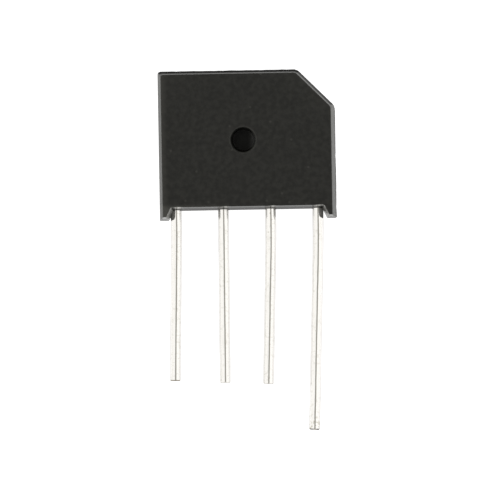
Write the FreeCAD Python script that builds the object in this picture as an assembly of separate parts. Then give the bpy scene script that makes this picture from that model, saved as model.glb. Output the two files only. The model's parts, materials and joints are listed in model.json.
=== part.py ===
import FreeCAD, Part
import math
import os

# Bridge rectifier in a flat moulded body, with four round leads in one row.
# X runs along the row of leads, Y from the lead tips to the top of the body,
# and Z through its thickness. The part lies on its back face, which is Z = 0,
# with the origin in the middle of that face. Lengths are in millimetres and
# angles in degrees.

# Moulded body, measured where the two halves of its mould meet
body_width = 19.0
body_height = 15.0
body_thickness = 6.2
bevel_size = 3.9
draft_angle = 7.0
face_edge_round = 0.12
corner_round = 0.25

# Two feet that hold the body off the board
foot_height = 1.05
foot_tip_width = 1.0
foot_root_width = 1.5
foot_corner_round = 0.1
foot_root_round = 0.15

# Blind dimple in the front face
dimple_diameter = 2.6
dimple_depth = 2.3
dimple_offset = -0.35
dimple_draft = 3.0
dimple_floor_bevel = 0.2
dimple_rim_bevel = 0.06

# Round leads: lengths are taken from the underside of the body, each lean is how
# far the lead points to the left of straight down past the feet, and the whole
# row stands a little to the left of the middle of the body
lead_diameter = 1.2
lead_pitch = 5.08
lead_row_shift = -0.12
lead_bend_radius = 120.0
lead_tip_bevel = 0.12
minus_lead_length = 18.3
ac_lead_1_length = 18.6
ac_lead_2_length = 18.8
plus_lead_length = 23.8
minus_lead_lean = 1.5
ac_lead_1_lean = 0.4
ac_lead_2_lean = 2.0
plus_lead_lean = 2.1

# Flattened heads of the leads inside the body
head_thickness = 0.4
shoulder_length = 1.2
head_corner_round = 0.4
die_head_width = 3.2
die_head_length = 3.0
end_head_width = 2.2
end_head_length = 2.0

# Silicon dice, with the edge of one face bevelled, and the solder on each face
die_row_height = 3.2
die_size = 2.3
die_thickness = 0.27
die_edge_bevel = 0.1
solder_size = 1.9
solder_corner_cut = 0.25
solder_thickness = 0.07

# Stamped jumpers that join the dice to the end leads
jumper_thickness = 0.4
jumper_plate_width = 2.6
jumper_plate_overhang = 1.3
jumper_arm_width = 1.4
jumper_arm_overhang = 1.0
jumper_corner_round = 0.4
jumper_slope_length = 0.9
jumper_bend_round = 0.2

# Places that follow from the sizes above
parting_height = body_thickness / 2
body_underside = -body_height / 2
foot_sole = body_underside - foot_height
head_top = parting_height + head_thickness / 2
jumper_bottom = head_top + solder_thickness + die_thickness + solder_thickness
jumper_end_bottom = head_top + solder_thickness
jumper_lower_edge = die_row_height - jumper_plate_width / 2
end_head_centre = jumper_lower_edge + jumper_arm_width / 2

left_to_right = (
    ("minus_lead", minus_lead_length, minus_lead_lean),
    ("ac_lead_1", ac_lead_1_length, ac_lead_1_lean),
    ("ac_lead_2", ac_lead_2_length, ac_lead_2_lean),
    ("plus_lead", plus_lead_length, plus_lead_lean),
)
lead_places = [(place - (len(left_to_right) - 1) / 2) * lead_pitch for place in range(len(left_to_right))]
minus_x, ac_1_x, ac_2_x, plus_x = lead_places

up = FreeCAD.Vector(0, 0, 1)
along_leads = FreeCAD.Vector(0, 1, 0)
centre = FreeCAD.Vector(0, 0, parting_height)
tiny = 1e-6


def eased_outline(corners):
    """Closed wire through (point, radius) corners, with an arc at each one whose radius isn't 0."""
    stretches = []
    for index, (point, radius) in enumerate(corners):
        to_last = (corners[index - 1][0] - point).normalize()
        to_next = (corners[(index + 1) % len(corners)][0] - point).normalize()
        half_angle = to_last.getAngle(to_next) / 2
        reach = radius / math.tan(half_angle)
        middle = point + (to_last + to_next).normalize() * (radius / math.sin(half_angle) - radius)
        stretches.append((point + to_last * reach, middle, point + to_next * reach, radius))
    edges = []
    for index, (arc_start, middle, arc_end, radius) in enumerate(stretches):
        if radius > 0:
            edges.append(Part.Arc(arc_start, middle, arc_end).toShape())
        edges.append(Part.LineSegment(arc_end, stretches[(index + 1) % len(stretches)][0]).toShape())
    return Part.Wire(edges)


def plate(corners, height, thickness):
    """Flat plate lying on the given height, from (x, y, radius) corners."""
    outline = eased_outline([(FreeCAD.Vector(x, y, height), radius) for x, y, radius in corners])
    return Part.Face(outline).extrude(up * thickness)


def turned_over(shape):
    """The same shape on the other side of the parting plane, left and right swapped."""
    other = shape.copy()
    other.rotate(centre, along_leads, 180)
    return other


def nearest_edge(shape, point):
    """The edge whose middle is closest to the point."""
    return min(shape.Edges, key=lambda edge: edge.CenterOfMass.distanceToPoint(point))


# Moulded body


def body_corners():
    """Corners of the body and feet on the parting plane, anticlockwise from the left foot, with their rounds."""
    side = body_width / 2
    top = body_height / 2
    plan = (
        (-side, foot_sole, foot_corner_round),
        (-side + foot_tip_width, foot_sole, foot_corner_round),
        (-side + foot_root_width, body_underside, foot_root_round),
        (side - foot_root_width, body_underside, foot_root_round),
        (side - foot_tip_width, foot_sole, foot_corner_round),
        (side, foot_sole, foot_corner_round),
        (side, top - bevel_size, corner_round),
        (side - bevel_size, top, corner_round),
        (-side, top, corner_round),
    )
    return [(FreeCAD.Vector(x, y, parting_height), radius) for x, y, radius in plan]


def drawn_in(points, inset):
    """The anticlockwise outline with every side moved inwards by the inset."""
    moved = []
    for index, point in enumerate(points):
        side_before = point - points[index - 1]
        side_after = points[(index + 1) % len(points)] - point
        inward_before = up.cross(side_before).normalize()
        inward_after = up.cross(side_after).normalize()
        share = inset / (1 + inward_before.dot(inward_after))
        moved.append(point + (inward_before + inward_after) * share)
    return moved


def plain_half():
    """Front half of the moulding: drafted flanks, rounded corners and a softened edge round the face."""
    corners = body_corners()
    foot_line = [point for point, _ in corners]
    half_depth = body_thickness - parting_height
    inset = half_depth * math.tan(math.radians(draft_angle))
    face_line = [point + up * half_depth for point in drawn_in(foot_line, inset)]
    faces = [Part.Face(Part.makePolygon(line + line[:1])) for line in (foot_line[::-1], face_line)]
    for index in range(len(foot_line)):
        after = (index + 1) % len(foot_line)
        flank = [foot_line[index], foot_line[after], face_line[after], face_line[index], foot_line[index]]
        faces.append(Part.Face(Part.makePolygon(flank)))
    half = Part.makeSolid(Part.makeShell(faces))
    for (foot_point, radius), face_point in zip(corners, face_line):
        half = half.makeFillet(radius, [nearest_edge(half, (foot_point + face_point) / 2)])
    face_edges = [edge for edge in half.Edges if abs(edge.BoundBox.ZMin - body_thickness) < tiny]
    return half.makeFillet(face_edge_round, face_edges)


def dimple_tool():
    """Tapered plug, wider at the face, with a bevel round its floor."""
    mouth = dimple_diameter / 2
    floor = body_thickness - dimple_depth
    wall_reach = mouth - (dimple_depth - dimple_floor_bevel) * math.tan(math.radians(dimple_draft))
    profile = (
        (0, floor),
        (wall_reach - dimple_floor_bevel, floor),
        (wall_reach, floor + dimple_floor_bevel),
        (mouth, body_thickness),
        (0, body_thickness),
    )
    points = [FreeCAD.Vector(dimple_offset + x, 0, z) for x, z in profile]
    plug = Part.Face(Part.makePolygon(points + points[:1]))
    return plug.revolve(FreeCAD.Vector(dimple_offset, 0, 0), up, 360)


def moulded_body(held_pieces):
    """The whole moulding, with the room that the held pieces take up inside it."""
    half = plain_half()
    front = half.cut(dimple_tool())
    mouth = [edge for edge in front.Edges
             if abs(edge.BoundBox.ZMin - body_thickness) < tiny
             and abs(edge.BoundBox.XLength - dimple_diameter) < tiny]
    front = front.makeChamfer(dimple_rim_bevel, mouth)
    back = half.mirror(centre, up)
    body = front.fuse(back).removeSplitter()
    held = held_pieces[0].multiFuse(held_pieces[1:])
    return body.cut(held)


# Leads


def lead_head(width, length, middle):
    """Flattened head: it starts as a point inside the wire, widens over the shoulder and carries the die."""
    lower_end = middle - length / 2
    upper_end = middle + length / 2
    side = width / 2
    corners = (
        (0, lower_end - shoulder_length, 0),
        (side, lower_end, head_corner_round),
        (side, upper_end, head_corner_round),
        (-side, upper_end, head_corner_round),
        (-side, lower_end, head_corner_round),
    )
    return plate(corners, parting_height - head_thickness / 2, head_thickness)


def ramp_cut(head_end):
    """Wedge that takes the front of the wire down to the thickness of its head, over the shoulder."""
    radius = lead_diameter / 2
    outside = 2 * radius
    thin = head_thickness / 2
    run = shoulder_length * (outside - thin) / (radius - thin)
    points = [
        FreeCAD.Vector(-outside, head_end, parting_height + thin),
        FreeCAD.Vector(-outside, head_end, parting_height + outside),
        FreeCAD.Vector(-outside, head_end - run, parting_height + outside),
    ]
    wedge = Part.Face(Part.makePolygon(points + points[:1]))
    return wedge.extrude(FreeCAD.Vector(2 * outside, 0, 0))


def lead_wire(head_end, length, lean):
    """Round wire that runs straight to the level of the feet, bends a little there and ends in a cut tip."""
    turn = math.radians(lean)
    start = FreeCAD.Vector(0, head_end, parting_height)
    bend_start = FreeCAD.Vector(0, foot_sole, parting_height)

    def on_bend(angle):
        drift = FreeCAD.Vector(math.cos(angle) - 1, -math.sin(angle), 0)
        return bend_start + drift * lead_bend_radius

    bend_end = on_bend(turn)
    leaning = FreeCAD.Vector(-math.sin(turn), -math.cos(turn), 0)
    tip = bend_end + leaning * (length - foot_height - lead_bend_radius * turn)
    route = Part.Wire([
        Part.LineSegment(start, bend_start).toShape(),
        Part.Arc(bend_start, on_bend(turn / 2), bend_end).toShape(),
        Part.LineSegment(bend_end, tip).toShape(),
    ])
    section = Part.Wire(Part.makeCircle(lead_diameter / 2, start, along_leads))
    wire = route.makePipeShell([section], True, False)
    wire = wire.makeChamfer(lead_tip_bevel, [nearest_edge(wire, tip)])
    front_ramp = ramp_cut(head_end)
    return wire.cut([front_ramp, turned_over(front_ramp)])


def lead(place, length, lean, head_width, head_length, head_middle):
    """One lead, from its flattened head to its tip, at its place in the row."""
    wire = lead_wire(head_middle - head_length / 2, length, lean)
    whole = wire.fuse(lead_head(head_width, head_length, head_middle)).removeSplitter()
    whole.translate(FreeCAD.Vector(place, 0, 0))
    return whole


def leads():
    """The four leads: the two in the middle carry the dice, the two at the ends carry a jumper each."""
    pieces = {}
    for place, (name, length, lean) in zip(lead_places, left_to_right):
        if place in (ac_1_x, ac_2_x):
            pieces[name] = lead(place, length, lean, die_head_width, die_head_length, die_row_height)
        else:
            pieces[name] = lead(place, length, lean, end_head_width, end_head_length, end_head_centre)
    return pieces


# Dice, solder and jumpers


def solder(x, y, reach_x, reach_y, bottom):
    """Thin layer of solder with cut corners, centred on a place."""
    corners = []
    for side_x, side_y in ((1, 1), (-1, 1), (-1, -1), (1, -1)):
        beside = (x + side_x * (reach_x - solder_corner_cut), y + side_y * reach_y, 0)
        below = (x + side_x * reach_x, y + side_y * (reach_y - solder_corner_cut), 0)
        corners += [below, beside] if side_x * side_y > 0 else [beside, below]
    return plate(corners, bottom, solder_thickness)


def die_solder(x, bottom):
    """Solder on one face of a die."""
    return solder(x, die_row_height, solder_size / 2, solder_size / 2, bottom)


def joint_solder():
    """Solder between the plus lead and the arm of its jumper."""
    reach_x = min(solder_size, end_head_width) / 2
    reach_y = min(solder_size, jumper_arm_width) / 2
    return solder(plus_x, end_head_centre, reach_x, reach_y, head_top)


def die(x, bottom):
    """Square silicon die whose upper edge is bevelled all round."""
    corner = FreeCAD.Vector(x - die_size / 2, die_row_height - die_size / 2, bottom)
    slab = Part.makeBox(die_size, die_size, die_thickness, corner)
    upper_edges = [edge for edge in slab.Edges if abs(edge.BoundBox.ZMin - bottom - die_thickness) < tiny]
    return slab.makeChamfer(die_edge_bevel, upper_edges)


def stack_on_lead(x, number):
    """Solder, die and solder between a middle lead and the plus jumper."""
    die_bottom = head_top + solder_thickness
    return {
        f"lead_solder_{number}": die_solder(x, head_top),
        f"die_{number}": die(x, die_bottom),
        f"jumper_solder_{number}": die_solder(x, die_bottom + die_thickness),
    }


def jumper():
    """Stamped strip: a plate over both upper dice, and an arm stepped down to the plus lead."""
    plate_left = ac_1_x - jumper_plate_overhang
    plate_right = ac_2_x + jumper_plate_overhang
    arm_end = plus_x + jumper_arm_overhang
    upper_edge = die_row_height + jumper_plate_width / 2
    arm_edge = jumper_lower_edge + jumper_arm_width
    plan = (
        (plate_left, jumper_lower_edge, jumper_corner_round),
        (arm_end, jumper_lower_edge, jumper_corner_round),
        (arm_end, arm_edge, jumper_corner_round),
        (plate_right, arm_edge, jumper_corner_round),
        (plate_right, upper_edge, jumper_corner_round),
        (plate_left, upper_edge, jumper_corner_round),
    )
    drop = jumper_bottom - jumper_end_bottom
    blank = plate(plan, jumper_end_bottom, drop + jumper_thickness)

    slope_end = plate_right + jumper_slope_length
    slope = math.atan2(drop, jumper_slope_length)
    shift = jumper_thickness * math.tan(slope / 2)
    outer_round = jumper_bend_round + jumper_thickness
    side_view = (
        (plate_left, jumper_bottom, 0),
        (plate_right, jumper_bottom, jumper_bend_round),
        (slope_end, jumper_end_bottom, outer_round),
        (arm_end, jumper_end_bottom, 0),
        (arm_end, jumper_end_bottom + jumper_thickness, 0),
        (slope_end + shift, jumper_end_bottom + jumper_thickness, jumper_bend_round),
        (plate_right + shift, jumper_bottom + jumper_thickness, outer_round),
        (plate_left, jumper_bottom + jumper_thickness, 0),
    )
    side_corners = [(FreeCAD.Vector(x, jumper_lower_edge, z), radius) for x, z, radius in side_view]
    bent = Part.Face(eased_outline(side_corners)).extrude(along_leads * jumper_plate_width)
    return bent.common(blank)


def upper_works():
    """What lies on the front side of the leads: two dice, their solder, and the plus jumper with its joint."""
    pieces = {"jumper": jumper(), "joint_solder": joint_solder()}
    for number, x in ((1, ac_1_x), (2, ac_2_x)):
        pieces.update(stack_on_lead(x, number))
    return pieces


def main():
    """Writes every piece to its own file in the folder parts."""
    pieces = leads()
    for name, shape in upper_works().items():
        pieces[f"plus_{name}"] = shape
        pieces[f"minus_{name}"] = turned_over(shape)
    for shape in pieces.values():
        shape.translate(FreeCAD.Vector(lead_row_shift, 0, 0))
    pieces["moulded_body"] = moulded_body(list(pieces.values()))
    os.makedirs("parts", exist_ok=True)
    for name, shape in pieces.items():
        shape.exportStep(f"parts/{name}.step")


main()
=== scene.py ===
import json
import math

import bmesh
import bpy
from mathutils import Matrix, Vector


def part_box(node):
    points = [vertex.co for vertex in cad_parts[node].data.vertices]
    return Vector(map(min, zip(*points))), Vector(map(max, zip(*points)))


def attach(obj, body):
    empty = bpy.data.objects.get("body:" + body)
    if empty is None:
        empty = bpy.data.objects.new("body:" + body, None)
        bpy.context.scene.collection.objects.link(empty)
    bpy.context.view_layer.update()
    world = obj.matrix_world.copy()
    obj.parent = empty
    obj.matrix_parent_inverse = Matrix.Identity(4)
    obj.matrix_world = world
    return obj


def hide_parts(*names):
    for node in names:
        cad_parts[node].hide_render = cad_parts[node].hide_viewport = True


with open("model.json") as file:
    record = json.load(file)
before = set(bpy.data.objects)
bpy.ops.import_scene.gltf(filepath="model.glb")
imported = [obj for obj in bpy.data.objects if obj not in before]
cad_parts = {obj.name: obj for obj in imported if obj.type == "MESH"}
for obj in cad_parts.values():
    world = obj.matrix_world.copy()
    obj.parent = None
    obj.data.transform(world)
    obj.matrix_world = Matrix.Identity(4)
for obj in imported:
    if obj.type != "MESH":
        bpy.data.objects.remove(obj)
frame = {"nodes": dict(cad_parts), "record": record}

bl_info = {
    "name": "In-line bridge rectifier",
    "version": (1, 0, 0),
    "blender": (4, 5, 0),
    "location": "View3D > Sidebar > Rectifier",
    "description": "Moulded body, tinned leads and inner works of a bridge rectifier, dressed for a studio picture",
    "category": "Object",
}

MM = 0.001
X, Y, Z = range(3)
LEADS = ("minus_lead", "ac_lead_1", "ac_lead_2", "plus_lead")
END_LEADS = ("minus_lead", "plus_lead")
ROW_MIDDLE = (len(LEADS) - 1) / 2
MOUNTS = {mount["name"]: mount for mount in frame["record"]["mounts"]}
BODY_LOW, BODY_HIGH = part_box("moulded_body")
PARTING = (BODY_LOW.z + BODY_HIGH.z) / 2

# How finely the round forms are divided, and how near two corners are the same
DIMPLE_SIDES = 96
LEAD_SIDES = 64
BEND_STEPS = 4
WELD_DISTANCE = 1e-7

# Width of a lead inside its head against its full width
NECK_SHARE = 0.94


# Sizes and colours


def length(name, description, default):
    """A size in metres that the sidebar shows with its unit."""
    return bpy.props.FloatProperty(name=name, description=description, default=default, subtype="DISTANCE",
                                   unit="LENGTH", precision=5, min=0.0)


def coordinate(name, description, default):
    """A coordinate in metres, which may lie below zero."""
    return bpy.props.FloatProperty(name=name, description=description, default=default, unit="LENGTH", precision=5)


def angle(name, description, degrees):
    """An angle that the sidebar shows in degrees."""
    return bpy.props.FloatProperty(name=name, description=description, default=math.radians(degrees),
                                   subtype="ANGLE", unit="ROTATION")


def amount(name, description, default, low=0.0, high=1.0):
    """A plain number between two limits."""
    return bpy.props.FloatProperty(name=name, description=description, default=default, min=low, max=high)


def colour(name, description, default):
    """A linear colour."""
    return bpy.props.FloatVectorProperty(name=name, description=description, default=default, subtype="COLOR",
                                         size=3, min=0.0, max=1.0)


class RectifierBodySizes(bpy.types.PropertyGroup):
    """Sizes of the moulded body that its box doesn't give."""

    foot_height: length("Foot height", "How far the feet stand below the body", 1.05 * MM)
    foot_tip: length("Foot tip", "Width of a foot at its sole", 1.0 * MM)
    foot_root: length("Foot root", "Width of a foot where it leaves the body", 1.5 * MM)
    bevel: length("Bevel", "Legs of the bevel that marks the plus corner", 3.95 * MM)
    draft: angle("Draft", "Slope of the flanks away from the parting line", 7.0)
    corner_round: length("Corner round", "Rounding of the upright edges", 0.25 * MM)
    foot_round: length("Foot round", "Rounding of the upright edges of the feet", 0.1 * MM)
    root_round: length("Root round", "Rounding between the feet and the underside", 0.15 * MM)
    face_round: length("Face round", "Rounding where the flanks meet the faces", 0.09 * MM)
    dimple_width: length("Dimple width", "Diameter of the dimple at the face", 2.65 * MM)
    dimple_depth: length("Dimple depth", "Depth of the dimple", 2.3 * MM)
    dimple_shift: length("Dimple shift", "How far the dimple lies left of the middle", 0.37 * MM)
    dimple_draft: angle("Dimple draft", "Slope of the dimple's wall", 3.0)
    dimple_floor_round: length("Dimple floor round", "Rounding between the dimple's wall and floor", 0.2 * MM)
    dimple_rim_round: length("Dimple rim round", "Rounding of the dimple's rim", 0.15 * MM)
    # Half width of the band of painted shade along the parting line
    band_width: length("Dull band", "Half the width of the dull band along the parting line", 2.1 * MM)
    flash_width: length("Flash width", "How far the thin flash stands out of the parting line", 0.03 * MM)
    flash_wander: length("Flash wander", "How far the edge of the flash wanders", 0.03 * MM)
    flash_step: length("Flash step", "Distance between the points where the flash changes course", 0.5 * MM)
    flash_thickness: length("Flash thickness", "Thickness of the flash", 0.05 * MM)


class RectifierLeadSizes(bpy.types.PropertyGroup):
    """Sizes of the leads that the mounts don't give."""

    shoulder: length("Shoulder", "Length over which a lead flattens into its head", 1.2 * MM)
    head_thickness: length("Head thickness", "Thickness of the flattened heads", 0.4 * MM)
    head_corner: length("Head corner", "Rounding of the heads' corners", 0.4 * MM)
    die_head: length("Inner head", "Length of the heads of the two AC leads", 3.0 * MM)
    end_head: length("Outer head", "Length of the heads of the plus and minus leads", 2.0 * MM)
    pitch: length("Pitch", "Distance from one lead to the next", 5.08 * MM)
    row_shift: length("Row shift", "How far the row of leads stands left of the body's middle", 0.12 * MM)
    tip_bevel: length("Tip bevel", "Bevel round the cut end of a lead", 0.12 * MM)
    ring_spacing: length("Ring spacing", "Distance between the sections that carry the waves", 0.4 * MM)
    wave_length: length("Wave length", "Size of the waves in the tin coat", 1.4 * MM)
    unevenness: length("Unevenness", "Height of the waves in the tin coat", 0.04 * MM)


class RectifierFinish(bpy.types.PropertyGroup):
    """Colours and gloss of the pieces."""

    epoxy: colour("Epoxy", "Black moulding compound", (0.004, 0.0041, 0.0031))
    # The pale colour serves the real filler grains and also the painted highlight on the dimple's rim and the painted
    # light along the left side
    filler_and_painted_light: colour("Epoxy filler", "Filler grains that show in the compound", (0.044, 0.0435, 0.0385))
    # Painted light: a lit copy of the compound, laid on the dimple's right side, the feet, the underside next to
    # them, the right side, and as painted reflections of the leads
    epoxy_painted_lit: colour("Dusty epoxy", "Fine dust in the dimple, on the feet and on the right side, and pale resin",
                      (0.3, 0.3, 0.29))
    # Painted shade: a shaded copy of the compound, laid along the parting line, below the body and in the dimple
    epoxy_painted_shade: colour("Dull epoxy", "Dull places at the parting line, below the body and in the dimple",
                       (0.014, 0.014, 0.0135))
    epoxy_gloss: amount("Epoxy roughness", "Roughness of the moulded faces", 0.5)
    epoxy_shine: amount("Epoxy shine", "Strength of the reflection from the moulded faces", 0.262)
    tin: colour("Tin", "Tin coat of the leads", (0.787, 0.775, 0.758))
    tin_dull: colour("Dull tin", "Stained and scuffed places in the tin coat", (0.52, 0.5, 0.44))
    cut_tin: colour("Cut ends", "Sheared ends of the leads", (0.3, 0.27, 0.23))
    burr: colour("Burr", "Dark marks on the burr of the longest lead", (0.05, 0.045, 0.04))
    tin_gloss: amount("Tin roughness", "Roughness of the tin coat", 0.07)
    tin_edge: amount("Tin edge", "How bright the tin coat's reflection stays at a flat angle", 0.5)
    copper: colour("Copper", "Bare copper of the jumpers", (0.62, 0.27, 0.14))
    copper_dull: colour("Dull copper", "Stains on the jumpers", (0.32, 0.12, 0.07))
    solder: colour("Solder", "Solder inside the body", (0.42, 0.42, 0.43))
    solder_dull: colour("Dull solder", "Stains on the solder", (0.25, 0.25, 0.26))
    silicon: colour("Silicon", "Faces of the dice", (0.075, 0.08, 0.1))
    silicon_rim: colour("Silicon rim", "Sides of the dice", (0.045, 0.088, 0.22))
    silicon_gloss: amount("Silicon roughness", "Roughness of the dice", 0.25)


class RectifierMarks(bpy.types.PropertyGroup):
    """How strongly the grains, scuffs and stains show, and the painted light and painted shade on the moulding."""

    clouds: amount("Clouds", "Soft clouds of filler in the compound", 0.2)
    grain: amount("Grain", "Fine grain of the compound", 0.12)
    flecks: amount("Flecks", "Small grains of filler all over the moulding", 0.45)
    specks: amount("Specks", "Scattered larger grains on the faces", 0.4)
    # Painted highlight on the dimple's rim
    rim: amount("Worn rim", "Wear on the dimple's rim", 0.25)
    # Painted light on the left flank and the left edge of the face
    margin: amount("Pale margin", "Pale margin along the left side", 0.45)
    # Painted light on the lower left edge and the left foot
    hem: amount("Pale hem", "Pale lower edge and foot on the left", 0.8)
    corners: amount("Pale corners", "Paler corners at the top", 0.09)
    # Painted light on the right side of the dimple, where light falls into it
    dimple_light: amount("Dimple dust", "Dust on the right side of the dimple", 0.2)
    # Painted reflections of the leads on the underside, one above each lead
    lead_reflections: amount("Resin", "Pale resin on the underside at the leads", 0.6)
    # Painted light on the inner sides of the feet, on the underside next to them and on their soles
    feet: amount("Feet dust", "Dust on the inner sides of the feet", 0.42)
    roots: amount("Root dust", "Dust on the underside next to the feet", 0.28)
    soles: amount("Sole dust", "Dust on the soles of the feet", 0.16)
    # Painted light on the right side and the bevel, and how uneven it is
    right_side_light: amount("Right side dust", "Dust on the right side and the bevel", 0.143)
    right_mottle: amount("Right side mottle", "How uneven the dust on the right side is", 0.044)
    # Painted shade: a dark diffuse layer over the reflection along the parting line, below the body and in the
    # dimple, and how much of it the soles and roots are spared
    top_painted_shade: amount("Dull top", "Dull band along the parting line of the top side", 0.95)
    band_painted_shade: amount("Dull lower band", "Dull band along the parting line of the underside", 0.2)
    underside_painted_shade: amount("Dull underside", "Dullness of the whole underside", 0.5)
    feet_spared_shade: amount("Clean feet", "How much of that dullness the soles and the roots lose", 0.3)
    dimple_painted_shade: amount("Dull dimple", "Dullness of the dimple's left side and floor", 0.45)
    tin_clouds: amount("Tin clouds", "Soft clouds in the tin coat", 0.3)
    tin_pits: amount("Tin pits", "Small pits in the tin coat", 0.7)
    tin_stains: amount("Tin stains", "Stains at the end of the longest lead", 0.8)
    tin_streaks: amount("Tin streaks", "Streaks that run along the leads", 0.2)
    tin_scuffs: amount("Tin scuffs", "Small dull scuffs in the tin coat", 0.25)
    inner_cuts: amount("Inner cut ends", "Bare metal on the middle leads' cut ends against the outer ones", 0.35)
    epoxy_relief: length("Epoxy relief", "Depth of the compound's fine relief", 0.006 * MM)
    tin_relief: length("Tin relief", "Depth of the tin coat's fine relief", 0.003 * MM)


class RectifierStage(bpy.types.PropertyGroup):
    """Floor, camera and lights."""

    camera_distance: length("Camera distance", "Height of the camera above the leads", 1000 * MM)
    frame_width: length("Frame width", "Width of the picture at the level of the leads", 53.82 * MM)
    look_x: coordinate("Look at X", "Middle of the picture along the row of leads", 0.135 * MM)
    look_y: coordinate("Look at Y", "Middle of the picture along the leads", -11.83 * MM)
    from_right: angle("View from the right", "How far the camera stands to the right of straight above", 0.8)
    from_top: angle("View from the top", "How far the camera stands towards the part's top edge", -0.2)
    roll: angle("Roll", "How far the part is turned anticlockwise in the picture", 1.0)
    floor_width: length("Floor width", "Side of the square floor", 1.2)
    floor_glow: amount("Floor glow", "How much the floor is lit from within, as on a light table", 0.96, 0.0, 5.0)
    floor_pale: amount("Floor paleness", "How much of the softboxes' light the floor gives back", 0.35)
    dark_gap: angle("Dark gap", "Half the angle overhead that the softboxes leave dark", 14.0)
    gap_tilt: angle("Gap tilt", "How far the dark gap lies to the right of straight above", 6.5)
    box_reach: angle("Softbox reach", "How far from straight above the softboxes reach down", 88.0)
    box_distance: length("Softbox distance", "Distance of the softboxes' edges from the part", 620 * MM)
    box_length: length("Softbox length", "Length of the softboxes along the leads", 1.4)
    box_power: amount("Softbox power", "Power of the right softbox in watts for each metre of width", 4.0, 0.0, 500.0)
    left_share: amount("Left share", "Brightness of the left softbox against the right one", 0.92)
    room_light: amount("Room light", "Brightness of the room round the softboxes", 0.4, 0.0, 5.0)
    room_tint: colour("Room tint", "Warm tint of the room round the softboxes", (1.0, 0.98, 0.9))


# Modelling helpers


def pick_only(*objects):
    """Selects these objects alone, the first one active."""
    bpy.ops.object.select_all(action="DESELECT")
    for piece in objects:
        piece.select_set(True)
    bpy.context.view_layer.objects.active = objects[0]


def start_piece(name):
    """Names the primitive that was just added, and opens it for editing with nothing selected."""
    piece = bpy.context.active_object
    piece.name = name
    piece.data.name = name
    pick_only(piece)
    bpy.ops.object.mode_set(mode="EDIT")
    return piece


def edit(piece):
    """Opens a piece for editing with nothing selected."""
    pick_only(piece)
    bpy.ops.object.mode_set(mode="EDIT")
    bpy.ops.mesh.select_all(action="DESELECT")


def leave_edit():
    """Goes back to object mode."""
    bpy.ops.object.mode_set(mode="OBJECT")


def select(piece, kind, test):
    """Selects the vertices, edges or faces of a piece in edit mode that pass the test, and says how many."""
    bpy.ops.mesh.select_all(action="DESELECT")
    bpy.ops.mesh.select_mode(type=kind)
    mesh = bmesh.from_edit_mesh(piece.data)
    members = {"VERT": mesh.verts, "EDGE": mesh.edges, "FACE": mesh.faces}[kind]
    count = 0
    for member in members:
        if test(member):
            member.select_set(True)
            count += 1
    mesh.select_flush_mode()
    bmesh.update_edit_mesh(piece.data)
    return count


def near(first, second, slack=1e-6):
    """Whether two lengths are the same."""
    return abs(first - second) < slack


def lies_at(edge, axis, level):
    """Whether both ends of an edge lie at a level of an axis."""
    return all(near(corner.co[axis], level) for corner in edge.verts)


def edge_middle(edge):
    """The point halfway along an edge."""
    return (edge.verts[0].co + edge.verts[1].co) / 2


def move_selected(x=0.0, y=0.0, z=0.0):
    """Moves the selection."""
    bpy.ops.transform.translate(value=(x, y, z))


def extrude_selected(x=0.0, y=0.0, z=0.0):
    """Extrudes the selection along a vector."""
    bpy.ops.mesh.extrude_region_move(TRANSFORM_OT_translate={"value": (x, y, z)})


def round_selected(radius, steps):
    """Rounds the selected edges."""
    bpy.ops.mesh.bevel(offset=radius, offset_type="OFFSET", segments=steps, affect="EDGES")


def merge_doubles():
    """Merges the corners of the open piece that share a place."""
    bpy.ops.mesh.select_all(action="SELECT")
    bpy.ops.mesh.remove_doubles(threshold=WELD_DISTANCE)


def turn_outwards():
    """Turns all faces of the open piece outwards."""
    bpy.ops.mesh.select_all(action="SELECT")
    bpy.ops.mesh.normals_make_consistent(inside=False)


def finish_piece(piece, smooth_degrees):
    """Smooths the shading, keeps flat faces flat, and lets the piece ride with the part."""
    leave_edit()
    pick_only(piece)
    bpy.ops.object.shade_smooth_by_angle(angle=math.radians(smooth_degrees))
    weighting = piece.modifiers.new("flat_faces", "WEIGHTED_NORMAL")
    weighting.keep_sharp = True
    bpy.ops.object.modifier_apply(modifier=weighting.name)
    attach(piece, "root")


def merged_copy(node, name):
    """A copy of a node of the frame with its doubled corners merged."""
    twin = bpy.data.objects.new(name, frame["nodes"][node].data.copy())
    bpy.context.scene.collection.objects.link(twin)
    edit(twin)
    merge_doubles()
    leave_edit()
    return twin


def combine(piece, tool, operation):
    """Joins the tool's form with the piece or takes it out, and deletes the tool."""
    pick_only(piece)
    change = piece.modifiers.new("combine", "BOOLEAN")
    change.operation = operation
    change.solver = "EXACT"
    change.object = tool
    bpy.ops.object.modifier_apply(modifier=change.name)
    bpy.data.objects.remove(tool)


def carve(piece, cutter):
    """Takes the cutter's form out of the piece."""
    combine(piece, cutter, "DIFFERENCE")


def weld(piece, addition):
    """Makes the piece and the addition one solid."""
    combine(piece, addition, "UNION")


# Materials

# The Mix node's sockets for a share, two colours and their mix
MIX_SHARE, MIX_FIRST, MIX_SECOND, MIX_RESULT = 0, 6, 7, 2

# Directions on the part as the photo shows it
TO_RIGHT = (1.0, 0.0, 0.0)
TO_LEFT = (-1.0, 0.0, 0.0)
TO_TOP = (0.0, 1.0, 0.0)
TO_TIPS = (0.0, -1.0, 0.0)
TO_FACE = (0.0, 0.0, 1.0)

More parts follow.
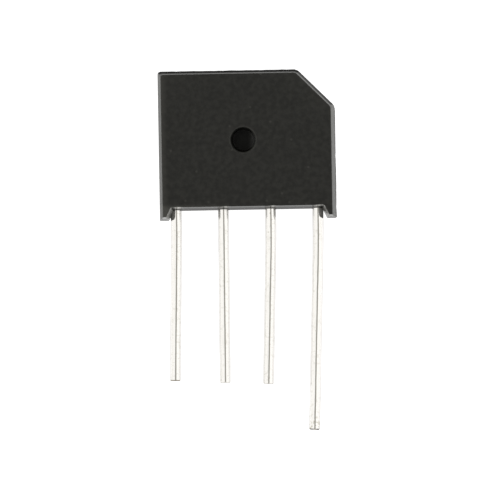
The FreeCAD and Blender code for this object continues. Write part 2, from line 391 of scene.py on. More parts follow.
# Places where a mark on the moulding fades in or out; most of them place painted light or painted reflections
MARGIN_SIDE = (BODY_LOW.x + 0.3 * MM, BODY_LOW.x + 1.1 * MM)
HEM_SIDE = (-4.0 * MM, -1.0 * MM)
HEM_HEIGHT = (-7.4 * MM, -6.7 * MM)
RIGHT_CORNER = (8.5 * MM, 12.5 * MM)
LEFT_CORNER = (10.0 * MM, 16.0 * MM)
FOOT_SIDE = (4.0 * MM, 6.0 * MM)
FOOT_HEIGHT = (-6.7 * MM, -6.3 * MM)
SOLE_HEIGHT = (-8.2 * MM, -7.9 * MM)
ROOT_SIDE = (6.9 * MM, 7.5 * MM)
ROOT_DEPTH = (1.4 * MM, 2.4 * MM)
REFLECTION_SIDE = (0.0, 0.6 * MM)
REFLECTION_DEPTH = (1.5 * MM, 3.1 * MM)
REFLECTION_SHIFT = 0.3 * MM
BEVEL_SIDE = (3.0 * MM, 4.0 * MM)

# The same for the dimple, as shares of its width
DIMPLE_WALL = (0.48, 0.52)
DIMPLE_SHADE = 0.3
LIT_SIDE = (0.15, 0.5)
RIM_START = (0.5, 0.53)
RIM_END = (0.55, 0.58)

# The same for the band of painted shade along the parting line, as shares of the square of band_width
BAND_EDGE = (0.5, 1.5)

# The same for the leads
HANDLED_HEIGHT = (-31.2 * MM, -28.4 * MM)
OUTER_SIDE = (3.0 * MM, 6.0 * MM)

# Shares of the patterns in the roughness and the relief of the moulding, the tin coat and the inner metals
CLOUD_ROUGHNESS, GRAIN_ROUGHNESS, UNDERSIDE_GLOSS, FEET_GLOSS = 0.12, 0.06, 0.35, 0.25
GRAIN_RELIEF, CLOUD_RELIEF, FLECK_RELIEF = 0.7, 0.6, 0.3
DRAWN_ROUGHNESS, DULL_ROUGHNESS, CUT_ROUGHNESS = 0.04, 0.25, 0.3
DRAWN_RELIEF, WAVE_RELIEF, PIT_RELIEF = 0.1, 0.5, 1.2
STAIN_ROUGHNESS, METAL_GRAIN, METAL_GRAIN_SCALE = 0.2, 0.5, 9.0


class Value:
    """A number in a material, which adds Math nodes when it is used in a sum."""

    def __init__(self, recipe, socket):
        self.recipe = recipe
        self.socket = socket

    def joined(self, operation, *terms):
        """The outcome of a Math node."""
        return self.recipe.node("ShaderNodeMath", {"operation": operation}, terms)

    def __add__(self, other):
        return self.joined("ADD", self, other)

    def __radd__(self, other):
        return self.joined("ADD", other, self)

    def __sub__(self, other):
        return self.joined("SUBTRACT", self, other)

    def __rsub__(self, other):
        return self.joined("SUBTRACT", other, self)

    def __mul__(self, other):
        return self.joined("MULTIPLY", self, other)

    def __rmul__(self, other):
        return self.joined("MULTIPLY", other, self)

    def off_nearest(self, spacing):
        """How far the number is from the nearest multiple of a spacing."""
        return self.joined("PINGPONG", self, spacing / 2)

    def between(self, low, high):
        """0 below the low value, 1 above the high one, with a smooth rise."""
        return self.recipe.node("ShaderNodeMapRange", {"interpolation_type": "SMOOTHSTEP"},
                                {"Value": self, "From Min": low, "From Max": high})


class Recipe:
    """A new material with its shader, and the nodes that feed it."""

    def __init__(self, name, **constants):
        self.material = bpy.data.materials.new(name)
        self.material.use_nodes = True
        self.tree = self.material.node_tree
        self.shader = self.tree.nodes["Principled BSDF"]
        for socket, value in constants.items():
            self.shader.inputs[socket.replace("_", " ")].default_value = value
        self.place = self.node("ShaderNodeTexCoord", {}, out="Object")

    def node(self, kind, settings, sockets=(), out=0):
        """Adds a node with its settings, then fills its sockets, which come in order or by name or number."""
        made = self.tree.nodes.new(kind)
        for key, value in settings.items():
            setattr(made, key, value)
        for key, value in sockets.items() if isinstance(sockets, dict) else enumerate(sockets):
            if isinstance(value, Value):
                self.tree.links.new(value.socket, made.inputs[key])
            else:
                made.inputs[key].default_value = value
        return Value(self, made.outputs[out])

    def stretched(self, share):
        """The place on the piece, shortened along the leads, so that a pattern on it is drawn out that way."""
        return self.node("ShaderNodeMapping", {}, {"Vector": self.place, "Scale": (1.0, share, 1.0)})

    def noise(self, scale, detail, place=None):
        """Soft noise between 0 and 1 with features of about one over the scale."""
        return self.node("ShaderNodeTexNoise", {},
                         {"Vector": place or self.place, "Scale": scale, "Detail": detail}, out="Fac")

    def patches(self, scale, detail, start, full):
        """Soft patches, where the noise rises from one level to another."""
        return self.noise(scale, detail).between(start, full)

    def spots(self, scale, core, edge, dimensions="3D", place=None):
        """Round spots at many points, scattered in space or over the plane of the faces."""
        distance = self.node("ShaderNodeTexVoronoi", {"feature": "F1", "voronoi_dimensions": dimensions},
                             {"Vector": place or self.place, "Scale": scale}, out="Distance")
        return 1.0 - distance.between(core, edge)

    def facing(self, direction):
        """How far the surface faces a direction, from -1 to 1."""
        normal = self.node("ShaderNodeNewGeometry", {}, out="Normal")
        return self.node("ShaderNodeVectorMath", {"operation": "DOT_PRODUCT"}, (normal, direction), out="Value")

    def turned(self, direction, start, full):
        """1 where the surface faces a direction, 0 where it is turned away, with a smooth rise."""
        return self.facing(direction).between(start, full)

    def blend(self, share, first, second):
        """Mix of two colours."""
        first, second = (part if isinstance(part, Value) else (*part, 1.0) for part in (first, second))
        return self.node("ShaderNodeMix", {"data_type": "RGBA"},
                         {MIX_SHARE: share, MIX_FIRST: first, MIX_SECOND: second}, out=MIX_RESULT)

    def split(self, vector):
        """The three numbers of a vector."""
        parts = self.node("ShaderNodeSeparateXYZ", {}, (vector,)).socket.node
        return [Value(self, output) for output in parts.outputs]

    def painted_shade_layer(self, share, base):
        """Lets a plain dark diffuse surface take the shader's place by a share, which paints shade over the
        reflection.
        """
        dull = self.node("ShaderNodeBsdfDiffuse", {}, {"Color": (*base, 1.0)})
        glossy = Value(self, self.shader.outputs[0])
        mixed = self.node("ShaderNodeMixShader", {}, (share, glossy, dull))
        self.tree.links.new(mixed.socket, self.tree.nodes["Material Output"].inputs["Surface"])

    def feed(self, **sockets):
        """Links values to the shader."""
        for socket, value in sockets.items():
            self.tree.links.new(value.socket, self.shader.inputs[socket.replace("_", " ")])

    def bump(self, height, distance):
        """Normal that a height gives, in metres."""
        return self.node("ShaderNodeBump", {}, {"Height": height, "Distance": distance, "Strength": 1.0},
                         out="Normal")


def squares(lengths):
    """The squares of some lengths, to set against a squared distance."""
    return [size ** 2 for size in lengths]


def dimple_marks(recipe, sizes):
    """Shares for the inside of the dimple, the painted light on its right side and the painted highlight on its rim.
    """
    x, y, z = recipe.split(recipe.place)
    off_x = x + sizes.dimple_shift
    from_axis = off_x * off_x + y * y

    def beyond(limits):
        return from_axis.between(*squares(sizes.dimple_width * share for share in limits))

    above = z.between(BODY_HIGH.z - sizes.dimple_width * DIMPLE_SHADE, BODY_HIGH.z - sizes.dimple_rim_round)
    # Painted shade inside the dimple, and painted light on its right side
    dimple = (1.0 - beyond(DIMPLE_WALL)) * (1.0 - above)
    lit_side = dimple * off_x.between(*(sizes.dimple_width * share for share in LIT_SIDE))
    # Painted highlight on the rim, in patches and on the right half
    marked = recipe.patches(scale=700.0, detail=1.0, start=0.42, full=0.6) \
        + off_x.between(0.0, sizes.dimple_width / 2)
    rim = beyond(RIM_START) * (1.0 - beyond(RIM_END)) * marked
    return dimple, lit_side, rim


def underside_marks(recipe, leads):
    """Shares for the underside, the feet's inner sides, their soles and their roots, where light is painted, and for
    the painted reflections of the leads.
    """
    x, y, z = recipe.split(recipe.place)
    depth = z - PARTING
    underside = recipe.turned(TO_TIPS, start=0.45, full=0.7)
    inward = (x * recipe.facing(TO_LEFT)).between(*FOOT_SIDE)
    # Where light is painted on the feet's inner sides, their soles and the underside next to them
    feet = (1.0 - y.between(*FOOT_HEIGHT)) * inward
    soles = underside * (1.0 - y.between(*SOLE_HEIGHT))
    roots = (underside - soles) * (x * x).between(*squares(ROOT_SIDE)) * depth.between(*ROOT_DEPTH)
    # Painted reflections of the leads on the underside, near the face
    beside = (x + (ROW_MIDDLE * leads.pitch + leads.row_shift - REFLECTION_SHIFT)).off_nearest(leads.pitch)
    lead_reflections = underside * (1.0 - beside.between(*REFLECTION_SIDE)) * depth.between(*REFLECTION_DEPTH)
    return underside, feet, soles, roots, lead_reflections


def shade_epoxy(finish, marks, sizes, leads):
    """Black moulding compound: dull, faintly clouded, with pale grains of filler, painted light and painted
    highlights on the flanks, feet, dimple and rim, and painted shade along the parting line, below the body and in
    the dimple.
    """
    recipe = Recipe("moulded_epoxy", IOR=1.5, Specular_IOR_Level=finish.epoxy_shine)
    x, y, z = recipe.split(recipe.place)
    depth = z - PARTING
    clouds = recipe.noise(scale=1900.0, detail=3.0)
    grain = recipe.noise(scale=9000.0, detail=2.0)
    flecks = recipe.spots(scale=3600.0, core=0.05, edge=0.16) \
        * recipe.patches(scale=1500.0, detail=1.0, start=0.52, full=0.7)
    specks = recipe.spots(scale=330.0, core=0.02, edge=0.06, dimensions="2D") \
        * recipe.patches(scale=150.0, detail=1.0, start=0.45, full=0.5)
    dimple, lit_side, rim = dimple_marks(recipe, sizes)
    underside, feet, soles, roots, lead_reflections = underside_marks(recipe, leads)
    # Painted light along the left side and the lower left edge, and paler top corners
    margin = 1.0 - x.between(*MARGIN_SIDE)
    hem = (1.0 - y.between(*HEM_HEIGHT)) * (1.0 - x.between(*HEM_SIDE))
    corners = (x + y).between(*RIGHT_CORNER) + (y - x).between(*LEFT_CORNER)
    # Band of painted shade along the parting line
    band = 1.0 - (depth * depth).between(*(sizes.band_width ** 2 * share for share in BAND_EDGE))
    top_side = recipe.turned(TO_TOP, start=0.5, full=0.8)
    # Painted light on the right side and the bevel
    right_side = recipe.turned(TO_RIGHT, start=0.4, full=0.65) * x.between(*BEVEL_SIDE)
    right_side_light = marks.right_side_light + recipe.noise(scale=500.0, detail=2.0) * marks.right_mottle

    shade = clouds.between(low=0.3, high=0.72) * marks.clouds + grain * marks.grain
    # Filler grains, with the painted highlight on the rim and the painted light along the left side
    grains_and_painted_light = flecks * marks.flecks + specks * marks.specks + rim * marks.rim + margin * marks.margin \
        + hem * marks.hem + corners * marks.corners
    # Painted light and painted reflections of the leads
    painted_light = lit_side * marks.dimple_light + lead_reflections * marks.lead_reflections + feet * marks.feet + roots * marks.roots \
        + soles * marks.soles + right_side * right_side_light
    marked = recipe.blend(grains_and_painted_light, recipe.blend(shade, finish.epoxy, finish.filler_and_painted_light), finish.filler_and_painted_light)
    # Painted shade on the top side and the underside along the parting line, below the body and in the dimple
    painted_shade = band * (top_side * marks.top_painted_shade + underside * marks.band_painted_shade) \
        + (underside - lead_reflections) * marks.underside_painted_shade - (soles + roots) * marks.feet_spared_shade \
        + (dimple - lit_side) * marks.dimple_painted_shade
    recipe.painted_shade_layer(painted_shade, finish.epoxy_painted_shade)
    recipe.feed(
        Base_Color=recipe.blend(painted_light, marked, finish.epoxy_painted_lit),
        Roughness=finish.epoxy_gloss + clouds * CLOUD_ROUGHNESS - grain * GRAIN_ROUGHNESS
        - underside * UNDERSIDE_GLOSS - feet * FEET_GLOSS,
        Normal=recipe.bump(grain * GRAIN_RELIEF + clouds * CLOUD_RELIEF + flecks * FLECK_RELIEF,
                           marks.epoxy_relief),
    )
    return recipe.material


def shade_tin(finish, marks):
    """Bright tin coat: drawn along the wire, slightly cloudy, with small pits, dull scuffs and bare cut ends."""
    recipe = Recipe("bright_tin", Metallic=1.0, Specular_Tint=(*[finish.tin_edge] * 3, 1.0))
    x, y, _ = recipe.split(recipe.place)
    drawn = recipe.noise(scale=5200.0, detail=3.0, place=recipe.stretched(0.05))
    clouds = recipe.noise(scale=900.0, detail=3.0)
    pits = recipe.spots(scale=1500.0, core=0.04, edge=0.13, place=recipe.stretched(0.7)) \
        * recipe.patches(scale=260.0, detail=1.0, start=0.5, full=0.62)
    handled = 1.0 - y.between(*HANDLED_HEIGHT)
    stains = handled * recipe.patches(scale=3400.0, detail=2.0, start=0.5, full=0.62)
    scuffs = recipe.patches(scale=2600.0, detail=2.0, start=0.56, full=0.7)
    outer_leads = (x * x).between(*squares(OUTER_SIDE))
    cut_end = recipe.turned(TO_TIPS, start=0.3, full=0.55) \
        * (marks.inner_cuts + outer_leads * (1.0 - marks.inner_cuts))
    burr = cut_end * handled * recipe.turned(TO_FACE, start=0.2, full=0.5) \
        * recipe.patches(scale=1700.0, detail=1.0, start=0.4, full=0.5)
    dull = clouds.between(low=0.55, high=0.85) * marks.tin_clouds + pits * marks.tin_pits \
        + stains * marks.tin_stains + drawn.between(low=0.5, high=0.75) * marks.tin_streaks \
        + scuffs * marks.tin_scuffs
    marked = recipe.blend(dull, finish.tin, finish.tin_dull)
    recipe.feed(
        Base_Color=recipe.blend(burr, recipe.blend(cut_end, marked, finish.cut_tin), finish.burr),
        Roughness=finish.tin_gloss + drawn * DRAWN_ROUGHNESS + dull * DULL_ROUGHNESS + cut_end * CUT_ROUGHNESS,
        Normal=recipe.bump(drawn * DRAWN_RELIEF + clouds * WAVE_RELIEF - pits * PIT_RELIEF, marks.tin_relief),
    )
    return recipe.material


def shade_metal(name, base, stained, roughness, scale):
    """Bare metal with soft stains and a fine grain."""
    recipe = Recipe(name, Metallic=1.0)
    stains = recipe.noise(scale, detail=4.0)
    grain = recipe.noise(scale * METAL_GRAIN_SCALE, detail=2.0)
    recipe.feed(
        Base_Color=recipe.blend(stains.between(low=0.4, high=0.75), base, stained),
        Roughness=roughness + stains * STAIN_ROUGHNESS,
        Normal=recipe.bump(grain * METAL_GRAIN + stains, distance=0.004 * MM),
    )
    return recipe.material


def shade_silicon(finish):
    """Dark grey silicon, bluer on the sides of the dice."""
    recipe = Recipe("silicon_die", IOR=2.0)
    flat = recipe.facing(TO_FACE)
    grain = recipe.noise(scale=6000.0, detail=2.0)
    upright = (1.0 - flat * flat).between(low=0.1, high=0.6)
    recipe.feed(
        Base_Color=recipe.blend(upright, finish.silicon, finish.silicon_rim),
        Roughness=finish.silicon_gloss + grain * STAIN_ROUGHNESS,
        Normal=recipe.bump(grain, distance=0.002 * MM),
    )
    return recipe.material


def dress(piece, material):
    """Gives a piece one material."""
    piece.data.materials.clear()
    piece.data.materials.append(material)


# Moulded body


def body_outline(sizes):
    """One flat face on the parting plane with the outline of the body and its feet."""
    side = BODY_HIGH.x
    top = BODY_HIGH.y
    underside = BODY_LOW.y + sizes.foot_height
    bpy.ops.mesh.primitive_plane_add(size=1.0, location=(0, 0, 0))
    body = start_piece("body_shell")
    bpy.ops.mesh.select_all(action="SELECT")
    bpy.ops.transform.resize(value=(2 * side, top - underside, 1.0))
    move_selected(y=(top + underside) / 2, z=PARTING)
    for flip in (-1, 1):
        bpy.ops.mesh.select_all(action="SELECT")
        bpy.ops.mesh.bisect(plane_co=(flip * (side - sizes.foot_root), 0, 0), plane_no=(1, 0, 0))

    def over_foot(edge):
        spot = edge_middle(edge)
        return near(spot.y, underside) and abs(spot.x) > side - sizes.foot_root

    select(body, "EDGE", over_foot)
    extrude_selected(y=-sizes.foot_height)
    for flip in (-1, 1):
        corner_x = flip * (side - sizes.foot_root)
        select(body, "VERT", lambda corner: near(corner.co.y, BODY_LOW.y) and near(corner.co.x, corner_x))
        move_selected(x=flip * (sizes.foot_root - sizes.foot_tip))
    bpy.ops.mesh.select_all(action="SELECT")
    bpy.ops.mesh.bisect(plane_co=(side - sizes.bevel, top, 0), plane_no=(1, 1, 0), clear_outer=True)
    bpy.ops.mesh.select_all(action="SELECT")
    bpy.ops.mesh.dissolve_limited(angle_limit=math.radians(0.5))
    return body


def raise_flanks(body, sizes):
    """Raises the drafted front half from the outline, and copies it to the back."""
    half_depth = (BODY_HIGH.z - BODY_LOW.z) / 2
    select(body, "FACE", lambda face: True)
    mesh = bmesh.from_edit_mesh(body.data)
    mesh.faces.ensure_lookup_table()
    if mesh.faces[0].normal.z < 0:
        bpy.ops.mesh.flip_normals()
    bpy.ops.mesh.inset(thickness=half_depth * math.tan(sizes.draft), depth=half_depth)
    bpy.ops.mesh.select_all(action="SELECT")
    bpy.ops.mesh.duplicate()
    bpy.ops.transform.resize(value=(1, 1, -1), center_override=(0, 0, PARTING))
    merge_doubles()
    turn_outwards()


def soften_edges(body, sizes):
    """Rounds the upright edges by group, then the edges round both faces."""
    underside = BODY_LOW.y + sizes.foot_height
    roots = BODY_HIGH.x - sizes.foot_root

    def upright(edge):
        low, high = sorted(corner.co.z for corner in edge.verts)
        return high - low > (BODY_HIGH.z - BODY_LOW.z) / 3

    def at_root(edge):
        spot = edge_middle(edge)
        return upright(edge) and abs(abs(spot.x) - roots) < sizes.foot_root / 3 \
            and underside - sizes.foot_height / 2 < spot.y < 0

    def at_sole(edge):
        return upright(edge) and edge_middle(edge).y < underside - sizes.foot_height / 2

    def at_corner(edge):
        return upright(edge) and edge_middle(edge).y > 0

    def round_face(edge):
        return lies_at(edge, Z, BODY_LOW.z) or lies_at(edge, Z, BODY_HIGH.z)

    for test, radius in ((at_root, sizes.root_round), (at_sole, sizes.foot_round), (at_corner, sizes.corner_round)):
        select(body, "EDGE", test)
        round_selected(radius, steps=5)
    select(body, "EDGE", round_face)
    round_selected(sizes.face_round, steps=4)


def parting_flash(body, sizes):
    """Thin uneven fin along the parting line of the top and the right side."""
    edit(body)

    def on_line(edge):
        return lies_at(edge, Z, PARTING) and (lies_at(edge, X, BODY_HIGH.x) or lies_at(edge, Y, BODY_HIGH.y))

    select(body, "EDGE", on_line)
    bpy.ops.mesh.duplicate()
    bpy.ops.mesh.separate(type="SELECTED")
    leave_edit()
    flash = next(piece for piece in bpy.context.selected_objects if piece is not body)
    edit(flash)
    while select(flash, "EDGE", lambda edge: edge.calc_length() > sizes.flash_step):
        bpy.ops.mesh.subdivide(number_cuts=1)
    bpy.ops.mesh.select_all(action="SELECT")
    sunk = (1 - sizes.flash_thickness / BODY_HIGH.x, 1 - sizes.flash_thickness / BODY_HIGH.y, 1)
    bpy.ops.transform.resize(value=sunk, center_override=(0, 0, PARTING))
    bpy.ops.mesh.extrude_edges_move(TRANSFORM_OT_translate={"value": (0, 0, 0)})
    reach = sizes.flash_thickness + sizes.flash_width
    spread = (1 + reach / BODY_HIGH.x, 1 + reach / BODY_HIGH.y, 1)
    bpy.ops.transform.resize(value=spread, center_override=(0, 0, PARTING))
    bpy.ops.transform.vertex_random(offset=sizes.flash_wander, seed=4)
    leave_edit()
    pick_only(flash)
    wall = flash.modifiers.new("wall", "SOLIDIFY")
    wall.thickness = sizes.flash_thickness
    wall.offset = 0.0
    bpy.ops.object.modifier_apply(modifier=wall.name)
    edit(flash)
    turn_outwards()
    leave_edit()
    return flash


def dimple_plug(sizes):
    """Cutter for the dimple: a tapered plug whose lower rim is rounded."""
    floor = BODY_HIGH.z - sizes.dimple_depth
    mouth = sizes.dimple_width / 2
    above = sizes.dimple_depth / 4
    bpy.ops.mesh.primitive_circle_add(vertices=DIMPLE_SIDES, radius=mouth, fill_type="NGON",
                                      location=(-sizes.dimple_shift, 0, 0))
    plug = start_piece("dimple_plug")
    bpy.ops.mesh.select_all(action="SELECT")
    move_selected(z=floor)
    share = 1.0 - sizes.dimple_depth * math.tan(sizes.dimple_draft) / mouth
    bpy.ops.transform.resize(value=(share, share, 1.0))
    extrude_selected(z=sizes.dimple_depth)
    bpy.ops.transform.resize(value=(1 / share, 1 / share, 1.0))
    extrude_selected(z=above)
    turn_outwards()
    select(plug, "EDGE", lambda edge: lies_at(edge, Z, floor))
    round_selected(sizes.dimple_floor_round, steps=6)
    leave_edit()
    return plug


def round_rim(body, sizes):
    """Rounds the rim of the dimple."""
    centre = Vector((-sizes.dimple_shift, 0))

    def on_rim(edge):
        return lies_at(edge, Z, BODY_HIGH.z) \
            and all((corner.co.xy - centre).length < sizes.dimple_width for corner in edge.verts)

    edit(body)
    select(body, "EDGE", on_rim)
    round_selected(sizes.dimple_rim_round, steps=4)
    leave_edit()


def inner_works_cutter():
    """One solid of all that the body holds, to cut its room."""
    copies = [merged_copy(node, "held_" + node) for node in frame["nodes"] if node != "moulded_body"]
    pick_only(*copies)
    bpy.ops.object.join()
    return copies[0]


class OBJECT_OT_rectifier_body(bpy.types.Operator):
    """Models the moulded body with its feet, bevelled corner, dimple and the room for what it holds"""

    bl_idname = "object.rectifier_body"
    bl_label = "Moulded body"

    def execute(self, context):
        sizes = context.scene.rectifier_body
        body = body_outline(sizes)
        raise_flanks(body, sizes)
        soften_edges(body, sizes)
        leave_edit()
        carve(body, dimple_plug(sizes))
        round_rim(body, sizes)
        flash = parting_flash(body, sizes)
        carve(body, inner_works_cutter())
        pick_only(body, flash)
        bpy.ops.object.join()
        finish_piece(body, smooth_degrees=32)
        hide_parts("moulded_body")
        scene = context.scene
        dress(body, shade_epoxy(scene.rectifier_finish, scene.rectifier_marks, sizes, scene.rectifier_leads))
        return {"FINISHED"}


# Leads


def lead_route(name):
    """Where a lead's leaning part starts and ends, which way it points, and its radius, from its mount."""
    mount = MOUNTS[name + "_pin"]
    middle = Vector(mount["pos_m"])
    outward = Vector(mount["axis"]).normalized()
    reach = outward * (mount["dims"]["length_mm"] * MM / 2)
    return middle - reach, middle + reach, outward, mount["dims"]["r_mm"] * MM


def squeeze_ring(centre, width, thickness):
    """Scales the selected ring about its centre."""
    bpy.ops.transform.resize(value=(width, 1.0, thickness), center_override=centre)


def lead_plate(name, width, low_y, high_y, middle, sizes):
    """Flattened head of a lead, with its corners rounded."""
    bpy.ops.mesh.primitive_cube_add(size=1.0, location=(0, 0, 0))
    plate = start_piece(name + "_head")
    bpy.ops.mesh.select_all(action="SELECT")
    bpy.ops.transform.resize(value=(width, high_y - low_y, sizes.head_thickness))
    move_selected(middle.x, (low_y + high_y) / 2, middle.z)
    select(plate, "EDGE", lambda edge: abs(edge.verts[0].co.z - edge.verts[1].co.z) > sizes.head_thickness / 2)
    round_selected(sizes.head_corner, steps=5)
    leave_edit()
    return plate


def model_lead(name, index, sizes, sole_y):
    """One lead: a ring run down from its head, bent a little at the feet and finished with a cut tip."""
    bend_end, tip_edge, outward, radius = lead_route(name)
    middle = Vector(((index - ROW_MIDDLE) * sizes.pitch - sizes.row_shift, sole_y, bend_end.z))
    lean = math.atan2(-outward.x, -outward.y)
    head_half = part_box(name)[1].x - middle.x
    head_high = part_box(name)[1].y
    head_low = head_high - (sizes.end_head if name in END_LEADS else sizes.die_head)
    flat = sizes.head_thickness / (2 * radius)
    overlap = sizes.shoulder / 4

    bpy.ops.mesh.primitive_circle_add(vertices=LEAD_SIDES, radius=radius, fill_type="NGON", location=(0, 0, 0))
    lead = start_piece("tinned_" + name)
    bpy.ops.mesh.select_all(action="SELECT")
    bpy.ops.transform.rotate(value=math.radians(90), orient_axis="X", center_override=(0, 0, 0))
    start = Vector((middle.x, head_low + overlap, middle.z))
    move_selected(*start)
    squeeze_ring(start, NECK_SHARE, flat)
    extrude_selected(y=-overlap)
    extrude_selected(y=-sizes.shoulder)
    squeeze_ring((middle.x, head_low - sizes.shoulder, middle.z), 1 / NECK_SHARE, 1 / flat)
    extrude_selected(y=sole_y - head_low + sizes.shoulder)
    bend_radius = (sole_y - bend_end.y) / math.sin(lean)
    bpy.ops.mesh.spin(steps=BEND_STEPS, angle=lean, center=(middle.x - bend_radius, sole_y, middle.z), axis=(0, 0, 1))
    rings = round((tip_edge - bend_end).length / sizes.ring_spacing)
    step = (tip_edge - bend_end) / rings
    for _ in range(rings):
        extrude_selected(*step)
    tip = outward * sizes.tip_bevel
    extrude_selected(*tip)
    shrink = 1 - sizes.tip_bevel / radius
    squeeze_ring(tip_edge + tip, shrink, shrink)
    merge_doubles()
    turn_outwards()
    leave_edit()

    plate = lead_plate(name, 2 * head_half, head_low, head_high, middle, sizes)
    weld(lead, plate)
    return lead


def make_uneven(lead, sizes, sole_y):
    """Gives the tin coat below the feet its shallow waves."""
    free = lead.vertex_groups.new(name="free_length")
    free.add([corner.index for corner in lead.data.vertices if corner.co.y < sole_y], 1.0, "REPLACE")
    waves = bpy.data.textures.new("tin_waves", "CLOUDS")
    waves.noise_scale = sizes.wave_length
    pick_only(lead)
    coat = lead.modifiers.new("waves", "DISPLACE")
    coat.texture = waves
    coat.texture_coords = "LOCAL"
    coat.vertex_group = free.name
    coat.strength = sizes.unevenness
    coat.mid_level = 0.5
    bpy.ops.object.modifier_apply(modifier=coat.name)
    bpy.data.textures.remove(waves)


class OBJECT_OT_rectifier_leads(bpy.types.Operator):
    """Models the four tinned leads, each with its flattened head, slight lean and cut tip"""

    bl_idname = "object.rectifier_leads"
    bl_label = "Tinned leads"

    def execute(self, context):
        sizes = context.scene.rectifier_leads
        tin = shade_tin(context.scene.rectifier_finish, context.scene.rectifier_marks)
        for index, name in enumerate(LEADS):
            lead = model_lead(name, index, sizes, BODY_LOW.y)
            make_uneven(lead, sizes, BODY_LOW.y)
            finish_piece(lead, smooth_degrees=40)
            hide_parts(name)
            dress(lead, tin)
        return {"FINISHED"}


# Inner works


class OBJECT_OT_rectifier_inner_works(bpy.types.Operator):
    """Finishes the dice, solder and jumpers inside the body"""

    bl_idname = "object.rectifier_inner_works"
    bl_label = "Inner works"

    def execute(self, context):
        finish = context.scene.rectifier_finish
        copper = shade_metal("bare_copper", finish.copper, finish.copper_dull, roughness=0.28, scale=700.0)
        solder = shade_metal("dull_solder", finish.solder, finish.solder_dull, roughness=0.45, scale=1800.0)
        silicon = shade_silicon(finish)
        for name, node in frame["nodes"].items():
            if "solder" in name:
                dress(node, solder)
            elif "jumper" in name:
                dress(node, copper)
            elif "die" in name:
                dress(node, silicon)
        return {"FINISHED"}


# Stage


def add_light(name, spot, target, width, height, power):
    """Rectangular softbox that faces the target."""
    lamp = bpy.data.lights.new(name, "AREA")
    lamp.shape = "RECTANGLE"
    lamp.size = width
    lamp.size_y = height
    lamp.energy = power
    holder = bpy.data.objects.new(name, lamp)
    holder.location = spot
    holder.rotation_euler = (Vector(target) - spot).to_track_quat("-Z", "Y").to_euler()
    bpy.context.scene.collection.objects.link(holder)


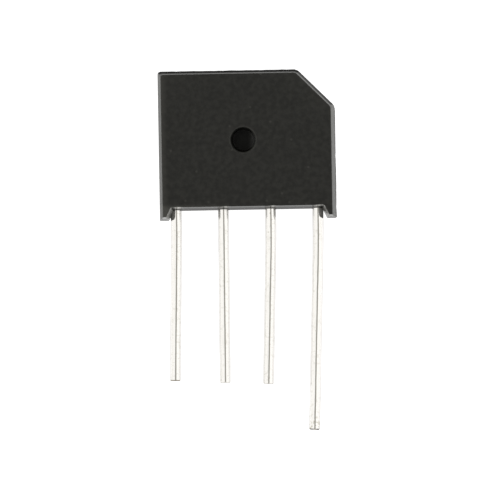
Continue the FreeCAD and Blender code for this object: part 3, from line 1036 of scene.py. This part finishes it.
class OBJECT_OT_rectifier_stage(bpy.types.Operator):
    """Lays the pale floor, and sets the softboxes and the camera"""

    bl_idname = "object.rectifier_stage"
    bl_label = "Stage"

    def execute(self, context):
        stage = context.scene.rectifier_stage
        bpy.ops.mesh.primitive_plane_add(size=stage.floor_width, location=(0, 0, 0))
        floor = context.active_object
        floor.name = "pale_floor"
        recipe = Recipe("pale_floor", Base_Color=(*[stage.floor_pale] * 3, 1.0), Roughness=0.6,
                        Emission_Color=(1.0, 1.0, 1.0, 1.0), Emission_Strength=stage.floor_glow)
        dress(floor, recipe.material)

        target = Vector((stage.look_x, stage.look_y, PARTING))
        for name, flip, share in (("left_softbox", -1, stage.left_share), ("right_softbox", 1, 1.0)):
            gap_end = stage.dark_gap + flip * stage.gap_tilt
            inner = Vector((math.sin(gap_end), 0, math.cos(gap_end))) * stage.box_distance
            outer = Vector((math.sin(stage.box_reach), 0, math.cos(stage.box_reach))) * stage.box_distance
            middle = (inner + outer) / 2
            spot = Vector((flip * middle.x, target.y, middle.z))
            width = (outer - inner).length
            add_light(name, spot, (0, target.y, 0), stage.box_length, width, stage.box_power * width * share)

        context.scene.view_settings.view_transform = "Standard"
        world = context.scene.world or bpy.data.worlds.new("room")
        context.scene.world = world
        world.use_nodes = True
        room = world.node_tree.nodes["Background"]
        room.inputs["Color"].default_value = (*stage.room_tint, 1.0)
        room.inputs["Strength"].default_value = stage.room_light

        lens = bpy.data.cameras.new("camera")
        lens.sensor_width = 36.0
        lens.sensor_fit = "HORIZONTAL"
        lens.lens = lens.sensor_width * stage.camera_distance / stage.frame_width
        lens.clip_start = 0.01
        camera = bpy.data.objects.new("camera", lens)
        context.scene.collection.objects.link(camera)
        away = Vector((math.tan(stage.from_right), math.tan(stage.from_top), 1.0)).normalized()
        picture_up = Vector((math.sin(stage.roll), math.cos(stage.roll), 0.0))
        right = picture_up.cross(away).normalized()
        upright = away.cross(right)
        turn = Matrix((right, upright, away)).transposed().to_4x4()
        camera.matrix_world = Matrix.Translation(target + away * stage.camera_distance) @ turn
        context.scene.camera = camera
        return {"FINISHED"}


class VIEW3D_PT_rectifier(bpy.types.Panel):
    """Sidebar panel with a button for each operator and all the settings"""

    bl_label = "Bridge rectifier"
    bl_space_type = "VIEW_3D"
    bl_region_type = "UI"
    bl_category = "Rectifier"

    def draw(self, context):
        for operator in OPERATORS:
            self.layout.operator(operator.bl_idname)
        for group in SETTINGS:
            box = self.layout.box()
            settings = getattr(context.scene, group)
            for name in settings.bl_rna.properties.keys():
                if name not in ("rna_type", "name"):
                    box.prop(settings, name)


SETTINGS = {
    "rectifier_body": RectifierBodySizes,
    "rectifier_leads": RectifierLeadSizes,
    "rectifier_finish": RectifierFinish,
    "rectifier_marks": RectifierMarks,
    "rectifier_stage": RectifierStage,
}
OPERATORS = (
    OBJECT_OT_rectifier_stage,
    OBJECT_OT_rectifier_body,
    OBJECT_OT_rectifier_leads,
    OBJECT_OT_rectifier_inner_works,
)


def register():
    """Registers the settings, the operators and the panel."""
    for name, group in SETTINGS.items():
        bpy.utils.register_class(group)
        setattr(bpy.types.Scene, name, bpy.props.PointerProperty(type=group))
    for operator in OPERATORS:
        bpy.utils.register_class(operator)
    bpy.utils.register_class(VIEW3D_PT_rectifier)


def unregister():
    """Takes back what register added."""
    bpy.utils.unregister_class(VIEW3D_PT_rectifier)
    for operator in reversed(OPERATORS):
        bpy.utils.unregister_class(operator)
    for name, group in reversed(SETTINGS.items()):
        delattr(bpy.types.Scene, name)
        bpy.utils.unregister_class(group)


def main():
    """Makes every piece and the stage."""
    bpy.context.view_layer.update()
    register()
    bpy.ops.object.rectifier_stage()
    bpy.ops.object.rectifier_body()
    bpy.ops.object.rectifier_leads()
    bpy.ops.object.rectifier_inner_works()


if __name__ == "__main__":
    main()
